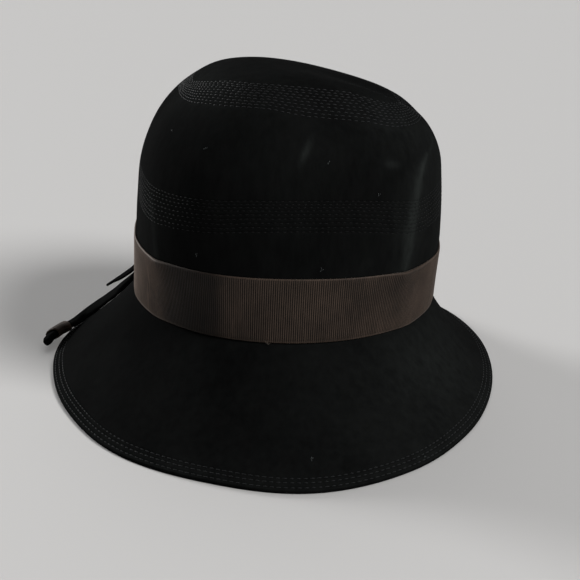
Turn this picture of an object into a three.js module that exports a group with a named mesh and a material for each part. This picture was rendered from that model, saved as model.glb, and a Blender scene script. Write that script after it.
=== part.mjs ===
// A cloche hat of velour felt: a tall oval crown, a bell-shaped brim with a turned-under hem,
// a grosgrain ribbon round the foot of the crown, and a small felt tie lying on the brim at the
// side, its lower end bound with ribbon. Millimetres, +Z up, the front of the hat towards -Y.
//
// An azimuth is an angle in degrees about the crown's axis: 0 at the front (-Y), 90 at +X.

import * as THREE from "three";

// ---------------------------------------------------------------- driving dimensions

const FELT = 2.0; // wall of the crown and the brim
const JOIN_GAP = 0.3; // clearance between two pieces that lie on each other
const RIBBON_THICKNESS = 0.7;
const UPSTAND_WALL = 1.6; // the brim's collar that stands inside the crown
const AZIMUTH_STEPS = 60;

// Sections of the crown's outer face, from the ribbon's lower edge to the tip. A section is an
// oval about (cx, cy) at height z: half width, half lengths to the front and to the back, and
// fullness of its corners (2 is an ellipse). Its plane falls by fallRight and fallBack mm per mm.
const CROWN_ROWS = table(
  ["z", "cx", "cy", "halfWidth", "front", "back", "fullness", "fallRight", "fallBack"],
  [
    [46, 0.3, 0, 83.9, 90, 99.9, 2.05, 0.011, 0.037],
    [80, 1.2, 0, 83.6, 90.4, 99.7, 2.4, 0.02, 0.044],
    [99.6, 1.95, 0, 83.3, 91.6, 98, 2.55, 0.008, 0.015],
    [118.8, 2.15, 0, 81.6, 92, 95.6, 2.65, 0, 0],
    [130.5, 3.1, -0.3, 78.9, 91.2, 94.2, 2.7, 0.007, 0.006],
    [142.1, 4.1, -0.7, 73.5, 87.2, 89.6, 2.7, 0.027, 0.022],
    [153.5, 5.6, -1.3, 64.7, 78.6, 80.2, 2.7, 0.062, 0.05],
    [161.8, 5.9, -1.9, 54.4, 67, 67.8, 2.6, 0.097, 0.078],
    [167.7, 5.2, -2.4, 43.3, 53.6, 53.6, 2.5, 0.127, 0.103],
    [171.9, 3.4, -2.9, 29.6, 36.8, 36.8, 2.3, 0.15, 0.12],
    [174.3, 1.2, -3.1, 15.2, 18.6, 18.6, 2.1, 0.16, 0.13],
  ],
);
const TIP = new THREE.Vector3(-1.5, -3.2, 175.3);

// Where rings of the crown lie, counted in rows: 0 is the first row, 1 the second, and the tip
// comes after the last. FOOT is the crown's open edge, UPSTAND_TOP the top of the brim's collar.
const FOOT = 0.18;
const UPSTAND_TOP = 0.5;
const RIBBON_TOP = 1;
const CROWN_RING_STEP = 0.5;

// Soft upright folds of the crown wall: a ridge where height is over 0, a hollow where under 0.
const FOLDS = [
  { name: "right corner", azimuth: 36, spread: 5, low: 78, high: 138, height: 1.5 },
  { name: "right flat", azimuth: 55, spread: 10, low: 92, high: 138, height: -1.7 },
  { name: "left corner", azimuth: -54, spread: 6, low: 76, high: 118, height: 1.2 },
  { name: "left hollow", azimuth: -76, spread: 9, low: 92, high: 122, height: -1.0 },
];

// Shallow dents of the tip: a long hollow about (x, y), turned by heading from +X, going down.
const DENTS = [
  { name: "slanting valley", x: 36, y: -18, heading: 12, along: 30, across: 13, depth: 3.0 },
  { name: "small press", x: -30, y: -34, heading: -30, along: 16, across: 10, depth: 1.2 },
];

// The rim seen from above: its distance from the crown's axis at every RIM_STEP degrees.
const RIM_STEP = 20;
const RIM_REACH = [
  154.8, 146.9, 134.5, 125.3, 121.7, 123.5, 127.6, 130.3, 130.9,
  130.9, 130.9, 131.5, 132.0, 132.2, 132.1, 136.2, 144.5, 149.4,
];
const BRIM_HOLLOW = 2.4; // how far the brim sinks below a straight line from crown to rim
const SIDE_HOLLOW = { azimuth: 106, spread: 24, depth: 2.0 }; // and how much further at one side
const RIM_EDGE_HEIGHT = 2.2; // top of the rim's edge above the surface it rests on
const RIM_ROUNDING = 0.5;
const RIM_FLAT = 3.0; // width of the flat ring that the hat rests on
const HEM_WALL = 3.0; // two layers of felt
const HEM_WIDTH = 11;
const BREAK_ROUNDING = 2.5; // bend between the collar and the brim

// The tie's strips follow the brim: down is 0 at the crown and 1 at the rim, out and up move a
// section off the brim's face, and width and thickness are the strip's own.
const LONG_TIE_ROWS = [
  { azimuth: -120, down: 0.09, out: 0, up: 3.4, width: 13, thickness: 2.9 },
  { azimuth: -120, down: 0.17, out: 0, up: 3.2, width: 14, thickness: 2.9 },
  { azimuth: -120, down: 0.27, out: 0, up: 2.9, width: 14, thickness: 2.6 },
  { azimuth: -119.5, down: 0.41, out: 0, up: 2.65, width: 14, thickness: 2.4 },
  { azimuth: -119, down: 0.56, out: 0, up: 2.5, width: 13.5, thickness: 2.4 },
  { azimuth: -117, down: 0.7, out: 0, up: 2.6, width: 13, thickness: 2.5 },
  { azimuth: -113.8, down: 0.82, out: 0, up: 2.85, width: 12.5, thickness: 2.8 },
  { azimuth: -108.6, down: 0.92, out: 0.3, up: 3.75, width: 11, thickness: 3.4 },
  { azimuth: -104.8, down: 1, out: 2.6, up: 4.4, width: 9, thickness: 3.9 },
  { azimuth: -102.2, down: 1, out: 4.3, up: 4.3, width: 7.6, thickness: 4.2 },
  { azimuth: -100.3, down: 1, out: 5, up: 4.2, width: 6.6, thickness: 4.2 },
  { azimuth: -98.8, down: 1, out: 5.4, up: 4, width: 6.4, thickness: 4.6 },
  { azimuth: -97.5, down: 1, out: 5.4, up: 3.6, width: 5, thickness: 4 },
];
const SHORT_TIE_ROWS = [
  { azimuth: -119, down: 0.1, out: 0, up: 7.9, width: 9, thickness: 1.7 },
  { azimuth: -119, down: 0.17, out: 0, up: 8, width: 9, thickness: 1.7 },
  { azimuth: -118, down: 0.27, out: 0, up: 8.3, width: 8, thickness: 1.7 },
  { azimuth: -117, down: 0.4, out: 1, up: 8.9, width: 6.5, thickness: 1.7 },
  { azimuth: -117, down: 0.5, out: 1.5, up: 9.9, width: 5, thickness: 1.6 },
  { azimuth: -117, down: 0.6, out: 2.2, up: 10.3, width: 3, thickness: 1.5 },
];
const WRAP_PLACES = [7.5, 8, 9, 9.4]; // where ribbon is wound on the long tie, counted in its rows
const WRAP_GAP = 0.8;

// The colour, roughness and metalness of each material.
const FELT_LOOK = { color: 0x121314, roughness: 0.95, metalness: 0 };
const RIBBON_LOOK = { color: 0x3c332d, roughness: 0.6, metalness: 0 };

// ---------------------------------------------------------------- small helpers

const radians = THREE.MathUtils.degToRad;
const lerp = THREE.MathUtils.lerp;

function table(columns, rows) {
  return rows.map((row) => Object.fromEntries(columns.map((name, i) => [name, row[i]])));
}

function azimuths() {
  return Array.from({ length: AZIMUTH_STEPS }, (_, i) => (i * 360) / AZIMUTH_STEPS);
}

function outward(azimuth) {
  return new THREE.Vector3(Math.sin(radians(azimuth)), -Math.cos(radians(azimuth)), 0);
}

function bell(distance, spread) {
  return Math.exp(-0.5 * (distance / spread) ** 2);
}

function turnBetween(a, b) {
  return THREE.MathUtils.euclideanModulo(a - b + 180, 360) - 180;
}

// Joins rings of equal length by a skin. The rings close on themselves in one direction; in the
// other they either close in a loop or end in a point or a flat cap.
function skin(rings, { loop = false, startPoint = null, endPoint = null } = {}) {
  const n = rings[0].length;
  const points = rings.flat();
  const triangles = [];
  const bands = loop ? rings.length : rings.length - 1;
  for (let i = 0; i < bands; i++) {
    const a = i * n;
    const b = ((i + 1) % rings.length) * n;
    for (let j = 0; j < n; j++) {
      const k = (j + 1) % n;
      triangles.push(a + j, a + k, b + k, a + j, b + k, b + j);
    }
  }
  const fan = (start, point, forwards) => {
    const centre = points.length;
    points.push(point);
    for (let j = 0; j < n; j++) {
      const k = (j + 1) % n;
      triangles.push(centre, ...(forwards ? [start + j, start + k] : [start + k, start + j]));
    }
  };
  if (!loop) {
    fan(0, startPoint ?? middle(rings[0]), false);
    fan((rings.length - 1) * n, endPoint ?? middle(rings.at(-1)), true);
  }
  return facingOut(points, triangles);
}

function middle(ring) {
  return ring.reduce((sum, p) => sum.add(p), new THREE.Vector3()).divideScalar(ring.length);
}

// A geometry whose faces point out, whichever way its rings were counted.
function facingOut(points, triangles) {
  let volume = 0;
  for (let i = 0; i < triangles.length; i += 3) {
    const [a, b, c] = [0, 1, 2].map((k) => points[triangles[i + k]]);
    volume += a.dot(b.clone().cross(c));
  }
  if (volume < 0) triangles.reverse();
  const geometry = new THREE.BufferGeometry().setFromPoints(points);
  geometry.setIndex(triangles);
  geometry.computeVertexNormals();
  return geometry;
}

// ---------------------------------------------------------------- the crown's outer face

function ovalPoint(row, azimuth) {
  const s = Math.abs(Math.sin(radians(azimuth)));
  const c = Math.cos(radians(azimuth));
  const halfLength = c > 0 ? row.front : row.back;
  const sum = (s / row.halfWidth) ** row.fullness + (Math.abs(c) / halfLength) ** row.fullness;
  const p = outward(azimuth).multiplyScalar(sum ** (-1 / row.fullness));
  return new THREE.Vector3(row.cx + p.x, row.cy + p.y, row.z - row.fallRight * p.x - row.fallBack * p.y);
}

// The upright line of the crown at one azimuth, carried over the tip so that it arrives smoothly.
function crownLine(azimuth) {
  const points = CROWN_ROWS.map((row) => ovalPoint(row, azimuth));
  points.push(TIP, ovalPoint(CROWN_ROWS.at(-1), azimuth + 180));
  return new THREE.CatmullRomCurve3(points, false, "centripetal");
}

function fold(p, azimuth) {
  let push = 0;
  for (const f of FOLDS) {
    const rise = THREE.MathUtils.smoothstep(p.z, f.low - 10, f.low + 10);
    const fade = 1 - THREE.MathUtils.smoothstep(p.z, f.high - 16, f.high + 10);
    push += f.height * bell(turnBetween(azimuth, f.azimuth), f.spread) * rise * fade;
  }
  return p.addScaledVector(outward(azimuth), push);
}

function dent(p) {
  const onTop = THREE.MathUtils.smoothstep(p.z, 140, 160);
  for (const d of DENTS) {
    const [c, s] = [Math.cos(radians(d.heading)), Math.sin(radians(d.heading))];
    const [x, y] = [p.x - d.x, p.y - d.y];
    p.z -= d.depth * onTop * bell(x * c + y * s, d.along) * bell(y * c - x * s, d.across);
  }
  return p;
}

// A point of the crown's outer face: its azimuth, and its place counted in rows.
function crownPoint(azimuth, place) {
  const p = crownLine(azimuth).getPoint(place / (CROWN_ROWS.length + 1));
  return dent(fold(p, azimuth));
}

function crownNormal(azimuth, place) {
  const along = crownPoint(azimuth, place + 0.02).sub(crownPoint(azimuth, place - 0.02));
  const round = crownPoint(azimuth + 1, place).sub(crownPoint(azimuth - 1, place));
  return round.cross(along).normalize();
}

// The crown's face moved by distance along its normal: out where over 0, in where under 0.
function crownRing(place, distance) {
  return azimuths().map((azimuth) =>
    crownPoint(azimuth, place).addScaledVector(crownNormal(azimuth, Math.max(place, 0.02)), distance));
}

// ---------------------------------------------------------------- the brim's upper face

function rimReach(azimuth) {
  const turn = THREE.MathUtils.euclideanModulo(azimuth, 360) / RIM_STEP;
  const i = Math.floor(turn);
  const t = turn - i;
  const count = RIM_REACH.length;
  const [a, b, c, d] = [-1, 0, 1, 2].map((k) => RIM_REACH[(i + k + count) % count]);
  const squared = (2 * a - 5 * b + 4 * c - d) * t ** 2;
  const cubed = (3 * b - a - 3 * c + d) * t ** 3;
  return 0.5 * (2 * b + (c - a) * t + squared + cubed);
}

// Where the brim's upper face meets the foot of the ribbon.
function brimRoot(azimuth) {
  return crownPoint(azimuth, 0).add(new THREE.Vector3(0, 0, -JOIN_GAP - 0.2));
}

function rimPoint(azimuth) {
  return outward(azimuth).multiplyScalar(rimReach(azimuth)).setZ(RIM_EDGE_HEIGHT);
}

function brimHollow(azimuth) {
  const turn = turnBetween(azimuth, SIDE_HOLLOW.azimuth);
  return BRIM_HOLLOW + SIDE_HOLLOW.depth * bell(turn, SIDE_HOLLOW.spread);
}

function brimPoint(azimuth, down) {
  const root = brimRoot(azimuth);
  const rim = rimPoint(azimuth);
  const chord = rim.clone().sub(root);
  const under = new THREE.Vector3(chord.z * outward(azimuth).x, chord.z * outward(azimuth).y,
    -chord.dot(outward(azimuth))).normalize();
  const sink = brimHollow(azimuth) * 4 * down * (1 - down);
  return root.addScaledVector(chord, down).addScaledVector(under, sink);
}

function brimNormal(azimuth, down) {
  const along = brimPoint(azimuth, down + 0.01).sub(brimPoint(azimuth, down - 0.01));
  const round = brimPoint(azimuth + 1, down).sub(brimPoint(azimuth - 1, down));
  return along.cross(round).normalize();
}

function brimLength(azimuth) {
  return rimPoint(azimuth).distanceTo(brimRoot(azimuth));
}

// ---------------------------------------------------------------- pieces

function crownGeometry() {
  const places = [FOOT];
  const last = CROWN_ROWS.length - CROWN_RING_STEP;
  for (let place = UPSTAND_TOP; place <= last; place += CROWN_RING_STEP) places.push(place);
  const tip = crownPoint(0, CROWN_ROWS.length);
  const outside = places.map((place) => crownRing(place, 0)).reverse();
  const inside = places.map((place) => crownRing(place, -FELT));
  return skin([...outside, ...inside], {
    startPoint: tip,
    endPoint: tip.clone().add(new THREE.Vector3(0, 0, -FELT)),
  });
}

// One closed outline of the brim at an azimuth: down the collar, out along the upper face, round
// the rim, and back along the underside with the hem's step.
function brimOutline(azimuth) {
  const collar = (place, depth) =>
    crownPoint(azimuth, place)
      .addScaledVector(crownNormal(azimuth, Math.max(place, 0.02)), -FELT - JOIN_GAP - depth);
  const length = brimLength(azimuth);
  const inset = FELT + JOIN_GAP;
  const slope = brimPoint(azimuth, 0.01).sub(brimPoint(azimuth, 0)).normalize();
  const reachOf = (p) => p.dot(outward(azimuth));
  const corner = brimPoint(azimuth, 0).addScaledVector(slope, -inset / reachOf(slope));
  const bendTop = collar(FOOT, 0);
  const bendEnd = corner.clone().addScaledVector(slope, BREAK_ROUNDING);
  const bend = new THREE.QuadraticBezierCurve3(bendTop, corner, bendEnd);
  const upper = [0.06, 0.2, 0.4, 0.6, 0.78, 0.9, 1].map((down) => brimPoint(azimuth, down));
  const rim = rimReach(azimuth);
  const atRim = (reach, z) => outward(azimuth).multiplyScalar(reach).setZ(z);
  const hemDown = 1 - HEM_WIDTH / length;
  const below = (down, wall) => brimPoint(azimuth, down).addScaledVector(brimNormal(azimuth, down), -wall);
  const innerBend = bend.getPoint(0.5).addScaledVector(outward(azimuth), -UPSTAND_WALL)
    .add(new THREE.Vector3(0, 0, -0.6));
  return [
    collar(UPSTAND_TOP, 0),
    bendTop,
    bend.getPoint(0.5),
    bendEnd,
    ...upper,
    atRim(rim, RIM_ROUNDING),
    atRim(rim - RIM_ROUNDING, 0),
    atRim(rim - RIM_ROUNDING - RIM_FLAT, 0),
    below(hemDown + 0.02, HEM_WALL),
    below(hemDown, FELT),
    ...[0.6, 0.4, 0.2, 0.06].map((down) => below(down, FELT)),
    innerBend,
    collar(FOOT, UPSTAND_WALL),
    collar(UPSTAND_TOP, UPSTAND_WALL),
  ].reverse();
}

function brimGeometry() {
  return skin(azimuths().map(brimOutline), { loop: true });
}

function bandGeometry() {
  const places = [0, FOOT, UPSTAND_TOP, RIBBON_TOP];
  const inside = places.map((place) => crownRing(place, JOIN_GAP)).reverse();
  const outside = places.map((place) => crownRing(place, JOIN_GAP + RIBBON_THICKNESS));
  return skin([...inside, ...outside], { loop: true });
}

// The sections of a strip: four corners about each row's middle, square to the strip's run.
function stripMiddles(rows) {
  return rows.map((row) => {
    const p = brimPoint(row.azimuth, row.down);
    return p.addScaledVector(outward(row.azimuth), row.out).add(new THREE.Vector3(0, 0, row.up));
  });
}

function rowAt(rows, place, key) {
  const i = Math.min(Math.floor(place), rows.length - 2);
  return lerp(rows[i][key], rows[i + 1][key], place - i);
}

function stripSection(rows, place, grow = 0) {
  const run = new THREE.CatmullRomCurve3(stripMiddles(rows), false, "centripetal");
  const u = place / (rows.length - 1);
  const forwards = run.getTangent(u);
  const across = outward(rowAt(rows, place, "azimuth")).setZ(1).cross(forwards).normalize();
  const up = forwards.clone().cross(across).normalize();
  const halfWidth = rowAt(rows, place, "width") / 2 + grow;
  const halfThickness = rowAt(rows, place, "thickness") / 2 + grow;
  const corners = [[-1, -1], [1, -1], [1, 1], [-1, 1]];
  return corners.map(([a, b]) =>
    run.getPoint(u).addScaledVector(across, a * halfWidth).addScaledVector(up, b * halfThickness));
}

function stripGeometry(rows) {
  return skin(rows.map((_, i) => stripSection(rows, i)));
}

// Ribbon wound round the long tie: a sleeve with an inner and an outer skin.
function wrapGeometry() {
  const inside = WRAP_PLACES.map((place) => stripSection(LONG_TIE_ROWS, place, WRAP_GAP));
  const outside = WRAP_PLACES.map((place) => stripSection(LONG_TIE_ROWS, place, WRAP_GAP + RIBBON_THICKNESS));
  return skin([...inside, ...outside.reverse()], { loop: true });
}

// ---------------------------------------------------------------- assembly

function piece(name, geometry, look) {
  const mesh = new THREE.Mesh(geometry, new THREE.MeshStandardMaterial(look));
  mesh.name = name;
  return mesh;
}

const group = new THREE.Group();
group.add(
  piece("crown", crownGeometry(), FELT_LOOK),
  piece("brim", brimGeometry(), FELT_LOOK),
  piece("band", bandGeometry(), RIBBON_LOOK),
  piece("tie_long", stripGeometry(LONG_TIE_ROWS), FELT_LOOK),
  piece("tie_short", stripGeometry(SHORT_TIE_ROWS), FELT_LOOK),
  piece("tie_wrap", wrapGeometry(), RIBBON_LOOK),
);

// The origin is under the middle of the hat, on the surface it rests on.
const size = new THREE.Box3().setFromObject(group);
const centre = size.getCenter(new THREE.Vector3());
group.position.set(-centre.x, -centre.y, -size.min.z);

export default group;
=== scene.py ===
# The looks of a velour felt cloche hat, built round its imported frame.
#
# Tables are in millimetres in the hat's own frame: x to the wearer's left, -y to the front, z up,
# with the crown's axis at x = y = 0. An azimuth is an angle in degrees about that axis, 0 at the
# front and 90 at +x. A place counts rows of the crown's table: 0 is the ribbon's lower edge,
# 1 its upper edge, and TIP_PLACE the tip. metres() carries points to the row frame.

import math

import bpy
import numpy as np
from mathutils import Matrix, Vector


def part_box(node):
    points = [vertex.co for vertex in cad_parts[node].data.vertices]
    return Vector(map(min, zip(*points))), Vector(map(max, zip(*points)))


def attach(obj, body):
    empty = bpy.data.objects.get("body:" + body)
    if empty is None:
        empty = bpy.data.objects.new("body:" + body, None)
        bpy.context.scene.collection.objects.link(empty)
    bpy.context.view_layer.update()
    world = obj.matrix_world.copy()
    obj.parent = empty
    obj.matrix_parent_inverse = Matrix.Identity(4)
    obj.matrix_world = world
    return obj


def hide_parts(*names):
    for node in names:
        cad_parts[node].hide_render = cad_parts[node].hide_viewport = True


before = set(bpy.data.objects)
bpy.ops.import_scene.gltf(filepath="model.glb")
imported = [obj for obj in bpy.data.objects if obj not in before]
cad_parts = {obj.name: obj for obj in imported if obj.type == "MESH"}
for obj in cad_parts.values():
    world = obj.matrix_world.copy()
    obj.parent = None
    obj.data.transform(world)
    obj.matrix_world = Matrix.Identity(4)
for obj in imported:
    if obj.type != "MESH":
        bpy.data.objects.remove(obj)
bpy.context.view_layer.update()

# ---------------------------------------------------------------- form

# z, cx, cy, half width, front, back, fullness, fall to the right, fall to the back
CROWN_ROWS = np.array([
    [46, 0.3, 0, 83.9, 90, 99.9, 2.05, 0.011, 0.037],
    [80, 1.2, 0, 83.6, 90.4, 99.7, 2.4, 0.02, 0.044],
    [99.6, 1.95, 0, 83.3, 91.6, 98, 2.55, 0.008, 0.015],
    [118.8, 2.15, 0, 81.6, 92, 95.6, 2.65, 0, 0],
    [130.5, 3.1, -0.3, 78.9, 91.2, 94.2, 2.7, 0.007, 0.006],
    [142.1, 4.1, -0.7, 73.5, 87.2, 89.6, 2.7, 0.027, 0.022],
    [153.5, 5.6, -1.3, 64.7, 78.6, 80.2, 2.7, 0.062, 0.05],
    [161.8, 5.9, -1.9, 54.4, 67, 67.8, 2.6, 0.097, 0.078],
    [167.7, 5.2, -2.4, 43.3, 53.6, 53.6, 2.5, 0.127, 0.103],
    [171.9, 3.4, -2.9, 29.6, 36.8, 36.8, 2.3, 0.15, 0.12],
    [174.3, 1.2, -3.1, 15.2, 18.6, 18.6, 2.1, 0.16, 0.13],
])
TIP = np.array([-1.5, -3.2, 175.3])
TIP_PLACE = len(CROWN_ROWS)

FELT = 2.0
JOIN_GAP = 0.3
RIBBON_THICKNESS = 0.7
UPSTAND_WALL = 1.6
FOOT = 0.18
UPSTAND_TOP = 0.5
RIBBON_TOP = 1.0

# azimuth, spread, low, high, height of the crown wall's soft upright folds
FOLDS = [
    (36, 5, 78, 138, 1.5),
    (55, 10, 92, 138, -1.7),
    (-54, 6, 76, 118, 1.2),
    (-76, 9, 92, 122, -1.0),
]

# Narrow creases on the folds' crests: azimuths at heights, spread in degrees, height
CREASES = [
    ((34.5, 34.0, 33.5, 34.5, 36.0, 39.0, 44.0, 56.0),
     (76, 87, 102, 120, 130, 135.5, 139.5, 142), 1.6, 0.6),
    ((-51.0, -51.0, -51.5, -52.0, -54.0, -57.0),
     (76, 82, 92, 102, 112, 118), 1.9, 0.45),
]

# x, y, heading, along, across, depth of the tip's shallow dents
DENTS = [
    (36, -18, 12, 30, 13, 3.0),
    (-30, -34, -30, 16, 10, 1.2),
]

RIM_STEP = 20
RIM_REACH = np.array([
    154.8, 146.9, 134.5, 125.3, 121.7, 123.5, 127.6, 130.3, 130.9,
    130.9, 130.9, 131.5, 132.0, 132.2, 132.1, 136.2, 144.5, 149.4,
])
BRIM_HOLLOW = 2.4
SIDE_HOLLOW = (106.0, 24.0, 2.0)
RIM_EDGE_HEIGHT = 2.2
RIM_ROUNDING = 0.5
RIM_FLAT = 3.0
HEM_WALL = 3.0
HEM_WIDTH = 11.0
BREAK_ROUNDING = 2.5

# azimuth, down, out, up, width, thickness of the side tie's strips along their run
LONG_TIE_ROWS = np.array([
    [-120, 0.09, 0, 3.4, 13, 2.9],
    [-120, 0.17, 0, 3.2, 14, 2.9],
    [-120, 0.27, 0, 2.9, 14, 2.6],
    [-119.5, 0.41, 0, 2.65, 14, 2.4],
    [-119, 0.56, 0, 2.5, 13.5, 2.4],
    [-117, 0.7, 0, 2.6, 13, 2.5],
    [-113.8, 0.82, 0, 2.85, 12.5, 2.8],
    [-108.6, 0.92, 0.3, 3.75, 11, 3.4],
    [-104.8, 1, 2.6, 4.4, 9, 3.9],
    [-102.2, 1, 4.3, 4.3, 7.6, 4.2],
    [-100.3, 1, 5, 4.2, 6.6, 4.2],
    [-98.8, 1, 5.4, 4, 6.4, 4.6],
    [-97.5, 1, 5.4, 3.6, 5, 4],
])
SHORT_TIE_ROWS = np.array([
    [-119, 0.1, 0, 7.9, 9, 1.7],
    [-119, 0.17, 0, 8.0, 9, 1.7],
    [-118, 0.27, 0, 8.3, 8, 1.7],
    [-117, 0.4, 1.0, 8.9, 6.5, 1.7],
    [-117, 0.5, 1.5, 9.9, 5, 1.6],
    [-117, 0.6, 2.2, 10.3, 3, 1.5],
])
# How far each tie leans with its front edge down: places in its rows, and degrees there
LONG_TIE_TILT = ((0, 2, 3.5, 9, 12), (11, 11, 16, 17, 8))
SHORT_TIE_TILT = ((0, 2.5, 5), (22, 18, 4))
# The long tie's lying part: the place where it ends, and how far it presses down and its front
# edge curls
LIES_TO = 6.6
NESTLED = 0.4
CURLED = 0.18
WRAP_FROM = 7.5
WRAP_TO = 9.4
WRAP_GAP = 0.8

# ---------------------------------------------------------------- detail

# Bands of quilting stitches: their lower and upper edges, as places, at these azimuths.
BAND_AZIMUTHS = (-180, -110, -82, -57, -42, -30, -17, -2, 14, 22, 30, 40, 60, 110, 180)
CROWN_STITCHING = [
    {
        "name": "stitches_crown_low", "rows": 9, "pitch": 3.1, "middle": (2.44, 3.46),
        "sunk": ((-150, -90, -44, -33, 30, 42, 90, 150), (0.08, 0.2, 0.2, 0.08, 0.08, 0.16, 0.16, 0.08)),
        "low": (2.16, 2.14, 2.12, 2.14, 2.20, 2.30, 2.42, 2.44, 2.40, 2.33, 2.22, 2.14, 2.10, 2.12, 2.16),
        "high": (3.16, 3.14, 3.12, 3.14, 3.22, 3.32, 3.45, 3.46, 3.42, 3.31, 3.16, 3.08, 3.06, 3.10, 3.16),
    },
    {
        "name": "stitches_crown_high", "rows": 10, "pitch": 3.3, "middle": (6.46, 7.83),
        "sunk": ((-150, -90, -60, -40, 24, 36, 80, 150), (0.0, 0.1, 0.06, 0.0, 0.0, 0.18, 0.18, 0.0)),
        "low": (6.10, 6.12, 6.16, 6.26, 6.42, 6.55, 6.62, 6.46, 6.40, 6.34, 6.14, 6.08, 6.05, 6.06, 6.10),
        "high": (6.98, 6.90, 6.80, 7.30, 7.62, 7.68, 7.76, 7.83, 7.84, 7.80, 7.50, 7.20, 7.05, 7.00, 6.98),
    },
]
# Places that stay level round the crown: below, between and above the bands
LEVEL_PLACES = (1.3, 4.9, 9.6)
STITCH_GROOVE = 0.3
BRIM_STITCH_INSETS = (1.5, 4.2, 6.5)
BRIM_STITCH_PITCH = 3.3
THREAD_RADIUS = 0.26
RIBBON_WIDTH = 34.6
RIB_PITCH = 1.08
RIB_HEIGHT = 0.42
RIB_SHAPE = (0.0, 0.75, 1.0, 0.75)
LAP = (-128.0, -112.0)
# Soft corners of the ribbon: azimuth at its upper edge, spread in degrees, height
RIBBON_CORNERS = ((34.5, 4.5, 0.7), (-50.0, 4.5, 0.7))

# Painted light on the ribbon: a painted highlight where it turns towards the back-left lamp and painted
# shade on its front left: azimuths, and how much is added to its tone
RIBBON_PAINTED_LIGHT = (
    (-150, -95, -60, -53, -47, -40, -28, -24, 60, 100),
    (0, 0.8, 1.0, 0.6, -0.45, -0.68, -0.68, 0, 0, 0),
)

# Specks of lint: azimuth and place on the crown, or azimuth and down on the brim.
CROWN_LINT = ((-55.5, 5.26), (-34.5, 5.10), (-34.0, 1.54), (5.5, 1.26), (5.5, 4.90), (21.5, 3.60))
BRIM_LINT = ((0.5, 0.79), (24.5, 0.96))
# Rubbed marks on the crown: azimuth, place, half length and half width in mm, turn, strength
SMUDGES = (
    (-2.0, 5.24, 4.2, 1.1, 22.0, 0.85),
    (26.5, 4.74, 2.6, 1.4, -70.0, 0.5),
    (20.0, 1.3, 3.0, 1.3, 80.0, 0.3),
)
# Broad lighter stretches on the crown, painted light where it turns towards the lamps: azimuth, place,
# spreads of both, strength
CROWN_PAINTED_LIGHT = (
    (-62.0, 6.9, 24.0, 0.75, 0.22),
    (62.0, 3.4, 14.0, 2.2, 0.20),
    (34.0, 6.4, 12.0, 0.9, 0.20),
)
# Broad lighter stretches on the brim: azimuth, share of the way down, spreads, strength
# The first is painted light where the brim's right side faces the key lamp; the second lies along the
# front of the rim
BRIM_LIGHTER_STRETCHES = (
    (48.0, 0.45, 20.0, 0.34, 0.30),
    (8.0, 0.97, 60.0, 0.05, 0.10),
)
# How light the nap is painted along each crease: a painted highlight where the crease ridge catches the
# light, together with rubbed nap there
CREASE_HIGHLIGHT_AND_WEAR = (0.72, 0.22)
FRAYED_AZIMUTH = -10.5

RNG = np.random.default_rng(11)


# ---------------------------------------------------------------- surface functions

def smoothstep(x, low, high):
    t = np.clip((x - low) / (high - low), 0, 1)
    return t * t * (3 - 2 * t)


def window(x, rise, fall):
    """1 between two soft edges, each given as a pair of limits, and 0 outside them."""
    return smoothstep(x, *rise) * (1 - smoothstep(x, *fall))


def signed(azimuth):
    """The same azimuth, from -180 to 180."""
    return (azimuth + 180) % 360 - 180


def running_length(points):
    """How far along a line of points each of them lies."""
    steps = np.linalg.norm(np.diff(points, axis=0), axis=1)
    return np.concatenate([[0], np.cumsum(steps)])


def bell(distance, spread):
    return np.exp(-0.5 * (distance / spread) ** 2)


def outward(azimuth):
    a = np.radians(azimuth)
    return np.stack([np.sin(a), -np.cos(a), np.zeros_like(a)], -1)


def unit(v):
    return v / np.linalg.norm(v, axis=-1, keepdims=True)


def dot(a, b):
    return (a * b).sum(-1, keepdims=True)


def oval_points(azimuth):
    """The crown's row points at each azimuth: rows, the tip, and the last row's far side."""
    def at(row, az):
        z, cx, cy, half_width, front, back, fullness, fall_right, fall_back = row
        a = np.radians(az)
        half_length = np.where(np.cos(a) > 0, front, back)
        sideways = (np.abs(np.sin(a)) / half_width) ** fullness
        lengthways = (np.abs(np.cos(a)) / half_length) ** fullness
        p = outward(az) * ((sideways + lengthways) ** (-1 / fullness))[..., None]
        x, y = p[..., 0], p[..., 1]
        return np.stack([cx + x, cy + y, z - fall_right * x - fall_back * y], -1)
    points = [at(row, azimuth) for row in CROWN_ROWS]
    points.append(np.broadcast_to(TIP, points[0].shape))
    points.append(at(CROWN_ROWS[-1], azimuth + 180))
    return np.stack(points, -2)


def centripetal(points, place):
    """A centripetal Catmull-Rom curve through points (..., n, 3) at place (...)."""
    n = points.shape[-2]
    i = np.clip(np.floor(place).astype(int), 0, n - 2)
    t = (place - i)[..., None]

    def pick(k):
        return np.take_along_axis(points, np.clip(k, 0, n - 1)[..., None, None], -2)[..., 0, :]

    p1, p2 = pick(i), pick(i + 1)
    p0 = np.where((i > 0)[..., None], pick(i - 1), 2 * p1 - p2)
    p3 = np.where((i + 2 < n)[..., None], pick(i + 2), 2 * p2 - p1)
    d0, d1, d2 = (np.maximum(np.linalg.norm(b - a, axis=-1, keepdims=True) ** 0.5, 1e-4)
                  for a, b in ((p0, p1), (p1, p2), (p2, p3)))
    t1 = ((p1 - p0) / d0 - (p2 - p0) / (d0 + d1) + (p2 - p1) / d1) * d1
    t2 = ((p2 - p1) / d1 - (p3 - p1) / (d1 + d2) + (p3 - p2) / d2) * d1
    return (p1 + t1 * t + (-3 * p1 + 3 * p2 - 2 * t1 - t2) * t ** 2
            + (2 * p1 - 2 * p2 + t1 + t2) * t ** 3)


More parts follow.
